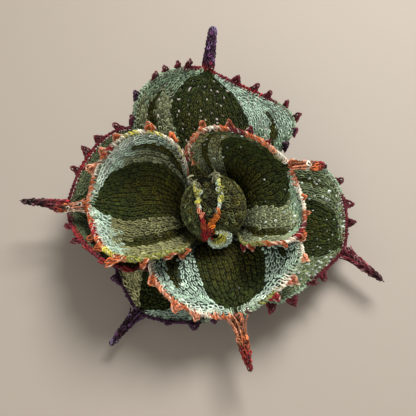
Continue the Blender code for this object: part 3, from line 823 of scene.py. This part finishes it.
def wraps(yarn, track, spacing, inward, outward, height, colour_at, thick, slant=0.8):
    """Loops round a track, from inward of it to outward."""
    places = np.arange(0.5 * spacing, track.length - 0.3 * spacing, spacing)
    places = places + rng.normal(0, 0.12 * spacing, len(places))
    centre, one, two = track.at(places)
    way = unit(np.cross(one, two))
    phase = 2 * np.pi * np.arange(12) / 12
    n = (len(places), 1)
    x = rng.normal(slant, 0.35, n) * np.sin(phase)
    y = (outward + inward) / 2 + (outward - inward) / 2 * np.cos(phase) * rng.normal(1, 0.13, n)
    z = height * np.sin(phase) * rng.normal(1, 0.12, n)
    paths = placed(centre, way, one, np.cross(way, one), np.stack([x, y, z], -1))
    tint = dyed(colour_at, places, 2.5, 0, 0.28)
    yarn.tubes(paths, thick, way[:, None], tint[:, None])


TOOTH_HALF, TOOTH_HEIGHT = 3.0, 5.5
# Each tooth's loops: half width and height as shares of the tooth's, turn about its foot, how bright
TOOTH_LOOPS = (
    (1.0, 1.0, 0.0, 0.1),
    (0.8, 0.9, 0.35, -0.2),
    (0.55, 0.65, -0.2, -0.4),
    (0.3, 0.42, 0.1, -0.2),
)
# Half the thickness of a tooth's strands, and how far they lie from the middle of their twist
TOOTH_YARN, TOOTH_TWIST = 0.4, 0.34


def teeth(yarn, track, plane, colour_at, leans, sizes, whitened):
    """Picots: pointed loops of twisted strands, one inside another. There is none right by the tip."""
    reach = plane[-1] / 2
    count = int((reach - FIRST_TOOTH - TOOTHLESS_BASE) // TOOTH_PITCH)
    at_plane = reach - FIRST_TOOTH - TOOTH_PITCH * np.arange(1, count)
    places = np.interp(np.concatenate([at_plane, plane[-1] - at_plane]), plane, track.run)
    leans = np.repeat(leans, count - 1)[:, None]
    sizes = np.repeat(sizes, count - 1)[:, None]
    places = places + rng.normal(0, 1.2, len(places))
    centre, out, up = track.at(places)
    n = (len(places), 1)
    tilt = rng.normal(leans, 0.25, n)
    way = unit(np.cross(out, up))
    bent = rng.normal(0, 0.5, n)
    tall = sizes * TOOTH_HEIGHT * rng.normal(1.0, 0.13, n)
    half = sizes * TOOTH_HALF * rng.normal(1.0, 0.1, n)
    a = np.linspace(-1, 1, 15)
    for width, height, turned, gain in TOOTH_LOOPS:
        angle = tilt + turned
        forth = out * np.cos(angle) + up * np.sin(angle)
        x = width * half * a + bent * (1 - np.abs(a)) * 2
        y = height * tall * (1 - np.abs(a) ** 1.4) - 0.4
        dx, dy = np.gradient(x, axis=1), np.gradient(y, axis=1)
        size = np.hypot(dx, dy)
        for k in range(2):
            turn = np.pi * k + 2 * np.pi * (1.5 * a + rng.random(n))
            off = TOOTH_TWIST * np.cos(turn) / size
            shape = np.stack([x - off * dy, y + off * dx, TOOTH_TWIST * np.sin(turn)], -1)
            tint = dyed(colour_at, places, 3.0, gain, 0.35)
            # One strand of each tooth's outer loop turned towards white, partly a painted highlight
            tint = tint + (THREADS["W"] - tint) * (whitened if turned == 0 and k else 0)
            ref = np.repeat(np.cross(way, forth)[:, None], len(a), 1) + 0.3 * way[:, None]
            paths = placed(centre, way, forth, np.cross(way, forth), shape)
            yarn.tubes(paths, TOOTH_YARN, ref, tint[:, None], 4, False)


# How thick the outer leaves' cord is beside the inner leaves'
OUTER_CORD = 0.86


def edging(name, leaf, surface):
    yarn = Yarn()
    track, plane = margin_track(leaf, surface)
    half = track.run[len(track.run) // 2]
    outer = name.startswith("outer")
    size = OUTER_CORD if outer else 1.0

    def colours(left, right):
        def colour_at(places):
            on_left = places < half
            share = np.where(on_left, places / half, (track.length - places) / (track.length - half))
            tint = np.where(on_left[..., None], threads(left, share), threads(right, share))
            # The cords are drawn darker down by the bud, a painted shade
            return tint * painted_shade_by_bud(share)[..., None]

        return colour_at

    cord = colours(*EDGINGS[name][:2])
    rope(yarn, track, 0.62 * size, 0.46 * size, 5.2, cord, mess=0.4, whitened=0 if outer else WHITENED)
    wraps(yarn, track, 2.5, -2.1, 0.95 * size, 1.05 * size, cord, 0.38)
    if name in INWARD_LOOPS:
        wraps(yarn, track, 1.9, -4.2, -0.4, 0.7, colours(*INWARD_LOOPS[name]), 0.36, 0.5)
    whitened = OUTER_WHITENED if outer else WHITENED
    leans, sizes = TOOTH_LEAN.get(name, (0.0, 0.0)), TOOTH_SIZE.get(name, (1.0, 1.0))
    teeth(yarn, track, plane, colours(*EDGINGS[name][2:4]), leans, sizes, whitened)
    spine(yarn, name, leaf, surface)
    return yarn


def fleck_and_highlight(tint, fleck, most):
    """A few of the colours, one to a row, turned part of the way to the fleck's colour: lighter specks that
    are partly the yarn's own and partly painted highlights.
    """
    share = np.where(rng.random(len(tint)) < 0.3, rng.uniform(0.3, 1.0, len(tint)), 0.0)
    return tint + (fleck - tint) * most * share[:, None]


# A spine's core: how far inside the spine's side it lies, and how bright it is, a painted shade in the
# gaps between the loops over it
CORE_INSET, SPINE_CORE_PAINTED_SHADE = 0.8, 0.2
# Rounds of loops over it: how far apart the rounds and the loops in them are, and how far inside the
# spine's side the loops are centred
SLEEVE_SPACING, SLEEVE_PITCH, SLEEVE_INSET = 2.2, 2.4, 0.5
SLEEVE_LOOP = {"pitch": 2.0, "width": 1.8, "low": 0.35, "high": 0.7, "thick": 0.36, "lean": 0.5}
# How far flecked loops are turned at the root, and how much of that is lost by the point; the flecks are
# partly painted highlights
FLECKED, FLECKS_LOST = 0.55, 0.85
# Strands at the root: how many, what share of the spine they cover, how fast they close in, how far
# they would turn round a whole spine, and half their thickness
ROOT_STRANDS, ROOT_SHARE, ROOT_CLOSING, ROOT_TURN, ROOT_YARN = 8, 0.45, 3.0, 0.9, 0.36


def sleeve(yarn, track, radii, colour_of, fleck):
    """Rounds of loops over a narrow core."""
    share = track.run / track.length
    core = np.maximum(radii - CORE_INSET, 0.25)
    # The core is drawn dark, a painted shade between the loops
    colours = colour_of(share) * SPINE_CORE_PAINTED_SHADE
    yarn.tubes(track.values[None, :, :3], core[None], track.values[None, :, 6:], colours[None], 8, False)
    for k, place in enumerate(np.arange(0.6, track.length - 0.8, SLEEVE_SPACING)):
        radius = float(np.interp(place, track.run, radii))
        turn = round_of(radius, SLEEVE_PITCH, k)
        count = len(turn)
        turn = turn + rng.normal(0, 0.1, count)
        centre, one, two = track.at(np.array([place]))
        away = np.cos(turn)[:, None] * one + np.sin(turn)[:, None] * two
        way = np.repeat(np.cross(one, two), count, 0)
        tint = colour_of(place / track.length + rng.normal(0, 0.05, count))
        most = FLECKED * (1 - FLECKS_LOST * place / track.length)
        tint = fleck_and_highlight(tint, fleck, most) * np.exp(rng.normal(-0.1, 0.5, (count, 1)))
        stitches(yarn, centre + away * (radius - SLEEVE_INSET), way, away, colour=tint, **SLEEVE_LOOP)


def root_strands(yarn, track, radii, flare, colour_of, fleck):
    """Long strands up a spine that spread out at its root."""
    places = np.arange(0.5, ROOT_SHARE * track.length, 0.6)
    centre, one, two = track.at(places)
    spread = flare * np.exp(-places / ROOT_CLOSING)
    radius = np.interp(places, track.run, radii)
    for k in range(ROOT_STRANDS):
        turn = 2 * math.pi * (k + 0.5) / ROOT_STRANDS + ROOT_TURN * places / track.length
        side = (radius + spread) * np.cos(turn)
        lift = (radius + 0.15 * spread) * np.sin(turn)
        path = centre + side[:, None] * one + lift[:, None] * two
        tint = colour_of(0.12 + 0.3 * rng.random() + 0 * places[:1]) * math.exp(rng.normal(0.0, 0.3))
        tint = np.repeat(fleck_and_highlight(tint, fleck, 0.5), len(places), 0)
        tint = tint * np.exp(rng.normal(0, 0.3, (len(places), 1)))
        yarn.tubes(path[None], ROOT_YARN, two[None] + 0.3 * one[None], tint[None], 5, False)


# Each spine's half width at its root, a third along it, two thirds along and at its point, how far
# the strands spread at its root (none are drawn at 1 or less), and how bright its yarn is, which is
# partly painted shade: lowered on the inner leaves' spines, which the lamp lights strongly
SPINES = {
    "outer_back": (3.6, 3.2, 2.7, 1.9, 0.6, 1.15),
    "outer_left": (2.5, 2.3, 1.7, 0.9, 1.2, 0.9),
    "outer_front": (2.3, 2.1, 1.6, 0.8, 2.8, 1.0),
    "outer_right": (2.5, 2.3, 1.9, 0.9, 3.0, 1.0),
    "inner_left": (2.2, 1.9, 1.8, 1.4, 2.4, 0.6),
    "inner_front": (2.6, 2.3, 2.2, 0.9, 3.6, 0.65),
    "inner_right": (2.0, 2.0, 2.2, 2.0, 1.6, 0.85),
}
# How far a spine's point is drawn aside from the solid one's, in x, y and z
SPINE_DRIFT = {"outer_back": (1.4, 0.0, 0.0), "inner_left": (0.0, 2.2, 1.5)}
# The flecks in a spine's yarn, by the third of its threads: lighter specks, partly the yarn's own and
# partly painted highlights
FLECKS_AND_HIGHLIGHTS = {"P": 2 * THREADS["L"], "B": srgb(190, 140, 145), "K": srgb(198, 136, 96)}


def spine(yarn, name, leaf, surface):
    tip = surface.at(leaf["L"], 0.0)
    way = unit(tip - surface.at(leaf["L"] - 3.0, 0.0))
    normal = unit(np.cross(way, np.cross(surface.up[-5], way)))
    side = np.cross(normal, way)
    up, turn = math.radians(leaf["sp_up"]), math.radians(leaf["sp_side"])
    level = way * math.cos(turn) + side * math.sin(turn)
    aim = unit(level * math.cos(up) + normal * math.sin(up))
    share = np.linspace(0.0, 1.0, 18)
    bend = unit(np.cross(aim, normal)) * 0.5 + normal * 0.3
    wave = np.sin(np.pi * share * 1.5) * 0.8 * (1 - share) * share
    path = tip + way * SPINE_START + aim * leaf["spine"] * share[:, None] + bend * wave[:, None]
    path = path + np.array(SPINE_DRIFT.get(name, (0.0, 0.0, 0.0))) * share[:, None] ** 1.3
    *widths, flare, bright = SPINES[name]
    radii = np.interp(share, (0, 0.33, 0.67, 1), widths)
    stops = EDGINGS[name][4]
    fleck = FLECKS_AND_HIGHLIGHTS[stops[2]]
    track = track_along(path)
    colour_of = thread_along(stops, 1.0, bright)
    sleeve(yarn, track, radii, colour_of, fleck)
    if flare > 1:
        root_strands(yarn, track, radii, flare, colour_of, fleck)


# Bud and base


def on_bud(way, lift):
    way = unit(np.asarray(way, float))
    radii = BUD_RADII + lift
    return way / np.linalg.norm(way / radii, axis=-1, keepdims=True) + BUD_CENTRE


def slit_line(steps):
    """Directions along the middle of the slit, across it, and half its width."""
    seen = np.array(SLIT_PATH)
    knots = np.linspace(0, 1, len(seen))
    share = np.linspace(0, 1, steps)
    way = unit(np.stack([np.interp(share, knots, column) for column in seen.T], -1))
    across = unit(np.cross(way, np.gradient(way, axis=0)))
    return way, across, np.interp(share, knots, SLIT_HALF)


def node_mesh(yarn, node, colour):
    """The CAD node's own faces, in one colour."""
    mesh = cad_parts[node].data
    points = np.zeros(len(mesh.vertices) * 3, np.float32)
    mesh.vertices.foreach_get("co", points)
    points, same = np.unique((points.reshape(-1, 3) / MM).round(4), axis=0, return_inverse=True)
    mesh.calc_loop_triangles()
    faces = np.zeros(len(mesh.loop_triangles) * 3, np.int32)
    mesh.loop_triangles.foreach_get("vertices", faces)
    faces = same.reshape(-1)[faces].reshape(-1, 3)
    whole = (faces[:, 0] != faces[:, 1]) & (faces[:, 1] != faces[:, 2]) & (faces[:, 0] != faces[:, 2])
    yarn.add(points.astype(float), colour, (faces[whole], None))


# How far apart the stitches in a round and the rounds on the bud are, and the rest of such a stitch
BALL_PITCH, BALL_SPACING = 2.0, 1.9
BALL_LOOP = {"low": 0.15, "high": 0.7, "thick": 0.31, "lean": 0.9}
# How far the bud's yarn is turned from brown to grey where BUD_LIT changes nothing
BUD_GREYED = 0.35


def ball_stitches(yarn, shrink, bright, free):
    """Level rounds of stitches over an egg about the bud's centre, at the places that free allows."""
    radii = BUD_RADII - shrink
    found = []
    for k, lat in enumerate(np.arange(0.12 - math.pi / 2, math.pi / 2 - 0.02, BALL_SPACING / radii[2])):
        lon = round_of(radii[0] * math.cos(lat), BALL_PITCH, k)
        found.append(np.stack([lon, np.full(len(lon), lat)], -1))
    lon, lat = np.concatenate(found).T
    way = np.stack([np.cos(lat) * np.cos(lon), np.cos(lat) * np.sin(lon), np.sin(lat)], -1)
    centre = way / np.linalg.norm(way / radii, axis=1, keepdims=True) + BUD_CENTRE
    along = np.stack([-np.sin(lon), np.cos(lon), 0 * lon], -1)
    keep = free(centre)
    centre, along = centre[keep], along[keep]
    up = unit((centre - BUD_CENTRE) / radii**2)
    along = unit(along - up * np.sum(along * up, 1)[:, None])
    light = np.clip(BUD_GREYED + up @ BUD_LIT + rng.normal(0, 0.3, len(centre)), 0, 1)[:, None]
    tint = bright * (BUD_BROWN + (BUD_GREY - BUD_BROWN) * light)
    tint = tint * np.exp(rng.normal(0, 0.5, (len(centre), 1)))
    stitches(yarn, centre, along, up, 0.85 * BALL_PITCH, 0.85 * BALL_SPACING, tint, **BALL_LOOP)


def clear_of_slit(centre, extra=0.9):
    """Which places on the bud lie farther than extra outside the slit, or past its top end."""
    way, across, half = slit_line(60)
    away = centre[:, None] - (way * BUD_RADII[0] + BUD_CENTRE)[None]
    distance = np.linalg.norm(away, axis=2)
    nearest = np.argmin(distance, axis=1)
    side = np.abs(np.sum(away[np.arange(len(centre)), nearest] * across[nearest], 1))
    reach = half[nearest] + extra
    past = away[:, -1] @ unit(way[-1] - way[-2]) > extra
    return (past & (nearest == len(way) - 1)) | ~((side < reach) & (distance.min(1) < reach))


def lip_frame():
    """The lip's centre, the directions along its side and up it, and the one back into the bud."""
    centre = on_bud(LIP_WAY, GAP + LIP_CORD + LIP_STAND)
    outward = unit(np.array(LIP_WAY))
    side = unit(np.cross(outward, (0, 0, 1)))
    tilt = math.radians(LIP_TILT)
    up = np.cross(side, outward) * math.cos(tilt) - outward * math.sin(tilt)
    return centre + LIP_MOVED[0] * side + LIP_MOVED[1] * up, side, up, np.cross(side, up)


def clear_of_lip(centre, reach=5.5):
    """Which places on the shell don't lie behind the lip's mouth."""
    middle, side, up, _ = lip_frame()
    mouth = middle + 0.5 * (LIP_MOUTH[0] * side + LIP_MOUTH[1] * up)
    return np.linalg.norm(centre - mouth, axis=1) > reach


def near_slit(centre):
    return ~clear_of_slit(centre, 6.0)


def on_open_shell(centre):
    return clear_of_slit(centre) & clear_of_lip(centre)


# How bright the bud's solids are under their loops, a painted shade in the gaps between the loops, and
# its loops on the core and on the shell, the core's darker as painted shade down in the slit
PAINTED_SHADE_UNDER_LOOPS = 0.06
CORE_BRIGHT, SHELL_BRIGHT = 0.75, 0.92


def bud():
    """The core, with stitches only near the slit, and the shell, with none in it or behind the lip."""
    yarn = Yarn()
    # The core's solid is drawn near black, a painted shade under its loops
    node_mesh(yarn, "bud_core", BUD * PAINTED_SHADE_UNDER_LOOPS)
    ball_stitches(yarn, SHELL_THICK + GAP, CORE_BRIGHT, near_slit)
    core = yarn.write("bud_core_yarn", "bud_yarn", BUD_LOOK, "bud_core")
    yarn = Yarn()
    # The shell's solid is drawn near black, a painted shade under its loops
    node_mesh(yarn, "bud_shell", BUD * PAINTED_SHADE_UNDER_LOOPS)
    ball_stitches(yarn, -0.25, SHELL_BRIGHT, on_open_shell)
    yarn.write("bud_shell_yarn", "bud_yarn", BUD_LOOK, "bud_shell")


# How far the cords are drawn in over the slit, about a third of the way up it
CORD_INWARD = 1.3
# Their threads, from the right arm's top round the slit's point to the left arm's top
CORD_THREADS = "SGSMYYGIYIIAAAAARRRRRRRRORRRKIYIIYSGS"
CORD_LOOP = {"low": 0.7, "high": 0.7, "thick": 0.24, "lean": 0.4}
# Tufts at each top: the share of the cords that they cover, how many, and how far up they stand
TUFT_SHARE, TUFTS, TUFT_UP = 0.07, 11, 0.6
TUFT_LOOP = {"pitch": 2.2, "width": 1.7, "low": 0.7, "high": 0.7, "thick": 0.26, "lean": 0.8}
# A picot on each arm: where, the threads of both picots' loops, half of them each, how bright, and how
# far in and up the loops stand
PICOTS_AT = (0.165, 0.875)
PICOT_THREADS = "YGIYYGYI"
PICOT_BRIGHT, PICOT_IN, PICOT_UP = 0.55, 0.9, 1.1
PICOT_LOOP = {"pitch": 2.7, "width": 2.1, "low": 0.8, "high": 0.9, "thick": 0.4, "lean": 0.5}


def on_cord(track, places, mess):
    """At each place on the slit's cords: the point, the directions across them, back along them and up
    from the bud, and two random shifts."""
    centre, one, two = track.at(places)
    return centre, one, np.cross(one, two), unit(centre - BUD_CENTRE), *rng.normal(0, mess, (2, *one.shape))


def cord_loops(yarn, track, colour_at):
    """Loops round the cords, larger at the slit's point, and none behind the lip."""
    places = np.arange(0.6, track.length - 0.6, 0.95)
    centre, _, along, up, shift, bend = on_cord(track, places, 0.38)
    size = 0.9 + 0.65 * hump(places / track.length, 0.5, 0.15)
    tint = dyed(colour_at, places, 1.5, -0.1, 0.35)
    clear = clear_of_lip(centre, 3.6)
    centre = centre + shift * size[:, None]
    along = unit(along + 0.9 * bend)
    size = size[clear]
    stitches(yarn, centre[clear], along[clear], up[clear], 2.6 * size, 1.1 * size, tint[clear], **CORD_LOOP)


def tufts(yarn, track):
    share = np.linspace(0, TUFT_SHARE, TUFTS)
    places = np.concatenate([share, 1 - share]) * track.length
    centre, across, _, up, shift, bend = on_cord(track, places, 0.9)
    tint = THREADS["S"] * np.exp(rng.normal(-0.2, 0.35, (len(places), 1)))
    stitches(yarn, centre + TUFT_UP * up + shift, unit(across + bend), up, colour=tint, **TUFT_LOOP)


def picots(yarn, track):
    places = np.repeat(PICOTS_AT, len(PICOT_THREADS) // 2) * track.length
    centre, _, along, up, shift, bend = on_cord(track, places, 0.4)
    inward = unit(np.cross(up, along))
    tint = PICOT_BRIGHT * np.array([THREADS[c] for c in PICOT_THREADS])
    centre = centre + PICOT_IN * inward + PICOT_UP * up + shift
    stitches(yarn, centre, unit(inward + bend), up, colour=tint, **PICOT_LOOP)


def bud_edging():
    """Cords up both sides of the slit, of twisted strands with loops round them, tufts and picots."""
    way, across, half = slit_line(40)
    middle = way * BUD_RADII[0]
    half = half - CORD_INWARD * hump(np.linspace(0, 1, len(half)), 0.32, 0.22)
    across = across * (half + BUD_CORD * CORD_OVERHANG)[:, None]
    path = on_bud(np.vstack([(middle - across)[:0:-1], (middle + across)[1:]]), GAP + BUD_CORD)
    track = track_along(path)
    colour_at = thread_along(CORD_THREADS, track.length)
    yarn = Yarn()
    rope(yarn, track, 0.68, 0.36, 6.5, colour_at, mess=0.9)
    cord_loops(yarn, track, colour_at)
    tufts(yarn, track)
    picots(yarn, track)
    yarn.write("bud_edging_yarn", "inner_edging_yarn", EDGE_LOOK, "bud_edging")


# The lip's mouth and the whole lip, moved along its side and up it, and the turns its rounds lie between
LIP_MOUTH = (4.0, 3.8)
LIP_MOVED = (0.9, 3.0)
LIP_TURNS = (75, 375)
# Its rounds of yarn: radius, how far forward, threads, and how wide the loops round it are
LIP_ROUNDS = (
    (2.8, -1.3, "YYYGGNN", 0.3),
    (3.6, -0.6, "YYGYYGGMG", 0.6),
    (4.4, 0.1, "YIYYIYGMM", 0.8),
    (5.1, 0.5, "YIYIMIIMIM", 1.0),
    (5.8, 0.3, "YIIMIIMIMI", 0.7),
)
LIP_BRIGHT = 1.1


def bud_lip():
    """A flared cup: yellow rounds inside, cream ones outside and strands from one to the other."""
    centre, side, up, axis = lip_frame()
    turns = np.radians(np.linspace(*LIP_TURNS, 40))
    flat = np.cos(turns)[:, None] * side + LIP_SQUASH * np.sin(turns)[:, None] * up
    mouth = LIP_MOUTH[0] * side + LIP_MOUTH[1] * up
    yarn = Yarn()
    for radius, lift, stops, reach in LIP_ROUNDS:
        inner = (LIP_ROUNDS[-1][0] - radius) / LIP_ROUNDS[-1][0]
        path = centre + mouth * inner + radius * flat - lift * axis
        path = path + rng.normal(0, 0.12, path.shape)
        track = Track(path, unit(flat), np.repeat(axis[None], len(flat), 0))
        colour_at = thread_along(stops, track.length, LIP_BRIGHT)
        rope(yarn, track, 0.4, 0.26, 4.2, colour_at, strands=2, mess=0.8)
        wraps(yarn, track, 1.6, -reach, reach, 0.6, colour_at, 0.26, 0.6)
    yarn.write("bud_lip_yarn", "lip_yarn", EDGE_LOOK, "bud_lip")


# Rounds of stitches on the base: the lowest, where they end and how far apart, then how far inside its
# side they are centred, and how bright the solid under them is, a painted shade in the gaps between them
BASE_ROUNDS = (1.7, 12.0, 2.0)
BASE_INSET = 0.25
BASE_PAINTED_SHADE = 0.3
BASE_LOOP = {"pitch": 2.4, "width": 1.6, "low": 0.3, "high": 0.15}


def base():
    yarn = Yarn()
    # The solid under the stitches is drawn dark, a painted shade
    node_mesh(yarn, "base", OLIVE * BASE_PAINTED_SHADE)
    radii, heights = zip(*BASE_PROFILE)
    found = []
    for k, z in enumerate(np.arange(*BASE_ROUNDS)):
        radius = float(np.interp(z, heights, radii)) - BASE_INSET
        lon = round_of(radius, BASE_LOOP["pitch"], k)
        found.append(np.stack([lon, np.full(len(lon), radius), np.full(len(lon), z)], -1))
    lon, radius, z = np.concatenate(found).T
    up = np.stack([np.cos(lon), np.sin(lon), 0 * lon], -1)
    along = np.stack([-np.sin(lon), np.cos(lon), 0 * lon], -1)
    centre = up * radius[:, None] + z[:, None] * np.array([0, 0, 1])
    stitches(yarn, centre, along, up, colour=np.repeat(OLIVE[None], len(lon), 0), **BASE_LOOP)
    obj = yarn.write("base_yarn_cover", "base_yarn", BUD_LOOK, "base")


def dress(name, leaf):
    surface = Surface(name)
    holes = dot_places(HOLES, name, leaf)
    loops = leaf_stitches(name, leaf, surface, holes)
    loops = loops.write(name + "_stitches", "leaf_yarn", LEAF_LOOK, None)
    cloth = Yarn()
    cloth.sheet(*leaf_cloth(name, leaf, surface, holes))
    cloth = cloth.write(name + "_cloth", "leaf_yarn", CLOTH_LOOK, name + "_blade")
    slot = name.split("_")[0] + "_edging_yarn"
    edging(name, leaf, surface).write(name + "_edging_cord", slot, EDGE_LOOK, name + "_edging")


for name, leaf in LEAVES.items():
    dress(name, leaf)
bud()
bud_edging()
bud_lip()
base()


# Floor, light and camera


def aim(obj, target):
    way = Vector(target) - Vector(obj.location)
    obj.rotation_euler = way.to_track_quat("-Z", "Y").to_euler()


def area_light(name, place, size, power, colour):
    data = bpy.data.lights.new(name, "AREA")
    data.shape = "DISK"
    data.size = size
    data.energy = power
    data.color = colour
    lamp = new_object(name, data)
    lamp.location = place
    aim(lamp, (0, 0, 0.02))


def floor():
    mesh = bpy.data.meshes.new("floor")
    mesh.from_pydata([(-2, -2, 0), (2, -2, 0), (2, 2, 0), (-2, 2, 0)], [], [(0, 1, 2, 3)])
    look = bpy.data.materials.new("floor_look")
    look.use_nodes = True
    shader = look.node_tree.nodes["Principled BSDF"]
    shader.inputs["Base Color"].default_value = (0.345, 0.3, 0.255, 1)
    shader.inputs["Roughness"].default_value = 0.7
    mesh.materials.append(look)
    obj = new_object("floor", mesh)


floor()
world = bpy.data.worlds.new("studio")
world.use_nodes = True
world.node_tree.nodes["Background"].inputs[0].default_value = (1.0, 0.95, 0.88, 1)
world.node_tree.nodes["Background"].inputs[1].default_value = 0.26
bpy.context.scene.world = world
area_light("key", (0.35, 0.60, 0.9), 0.6, 18.5, (1.0, 0.99, 0.96))
area_light("fill", (-0.4, -0.9, 0.55), 0.9, 6.0, (1.0, 0.99, 0.96))

ELEVATION = math.radians(56)
DISTANCE = 0.272
TARGET = (-0.003, 0.0, 0.024)
PICTURE = 416
FOCAL_PIXELS = 500
data = bpy.data.cameras.new("camera")
data.sensor_width = 36
data.lens = FOCAL_PIXELS * data.sensor_width / PICTURE
camera = new_object("camera", data)
camera.location = Vector(TARGET) + DISTANCE * Vector((0, -math.cos(ELEVATION), math.sin(ELEVATION)))
aim(camera, TARGET)
bpy.context.scene.camera = camera
bpy.context.scene.view_settings.view_transform = "Standard"
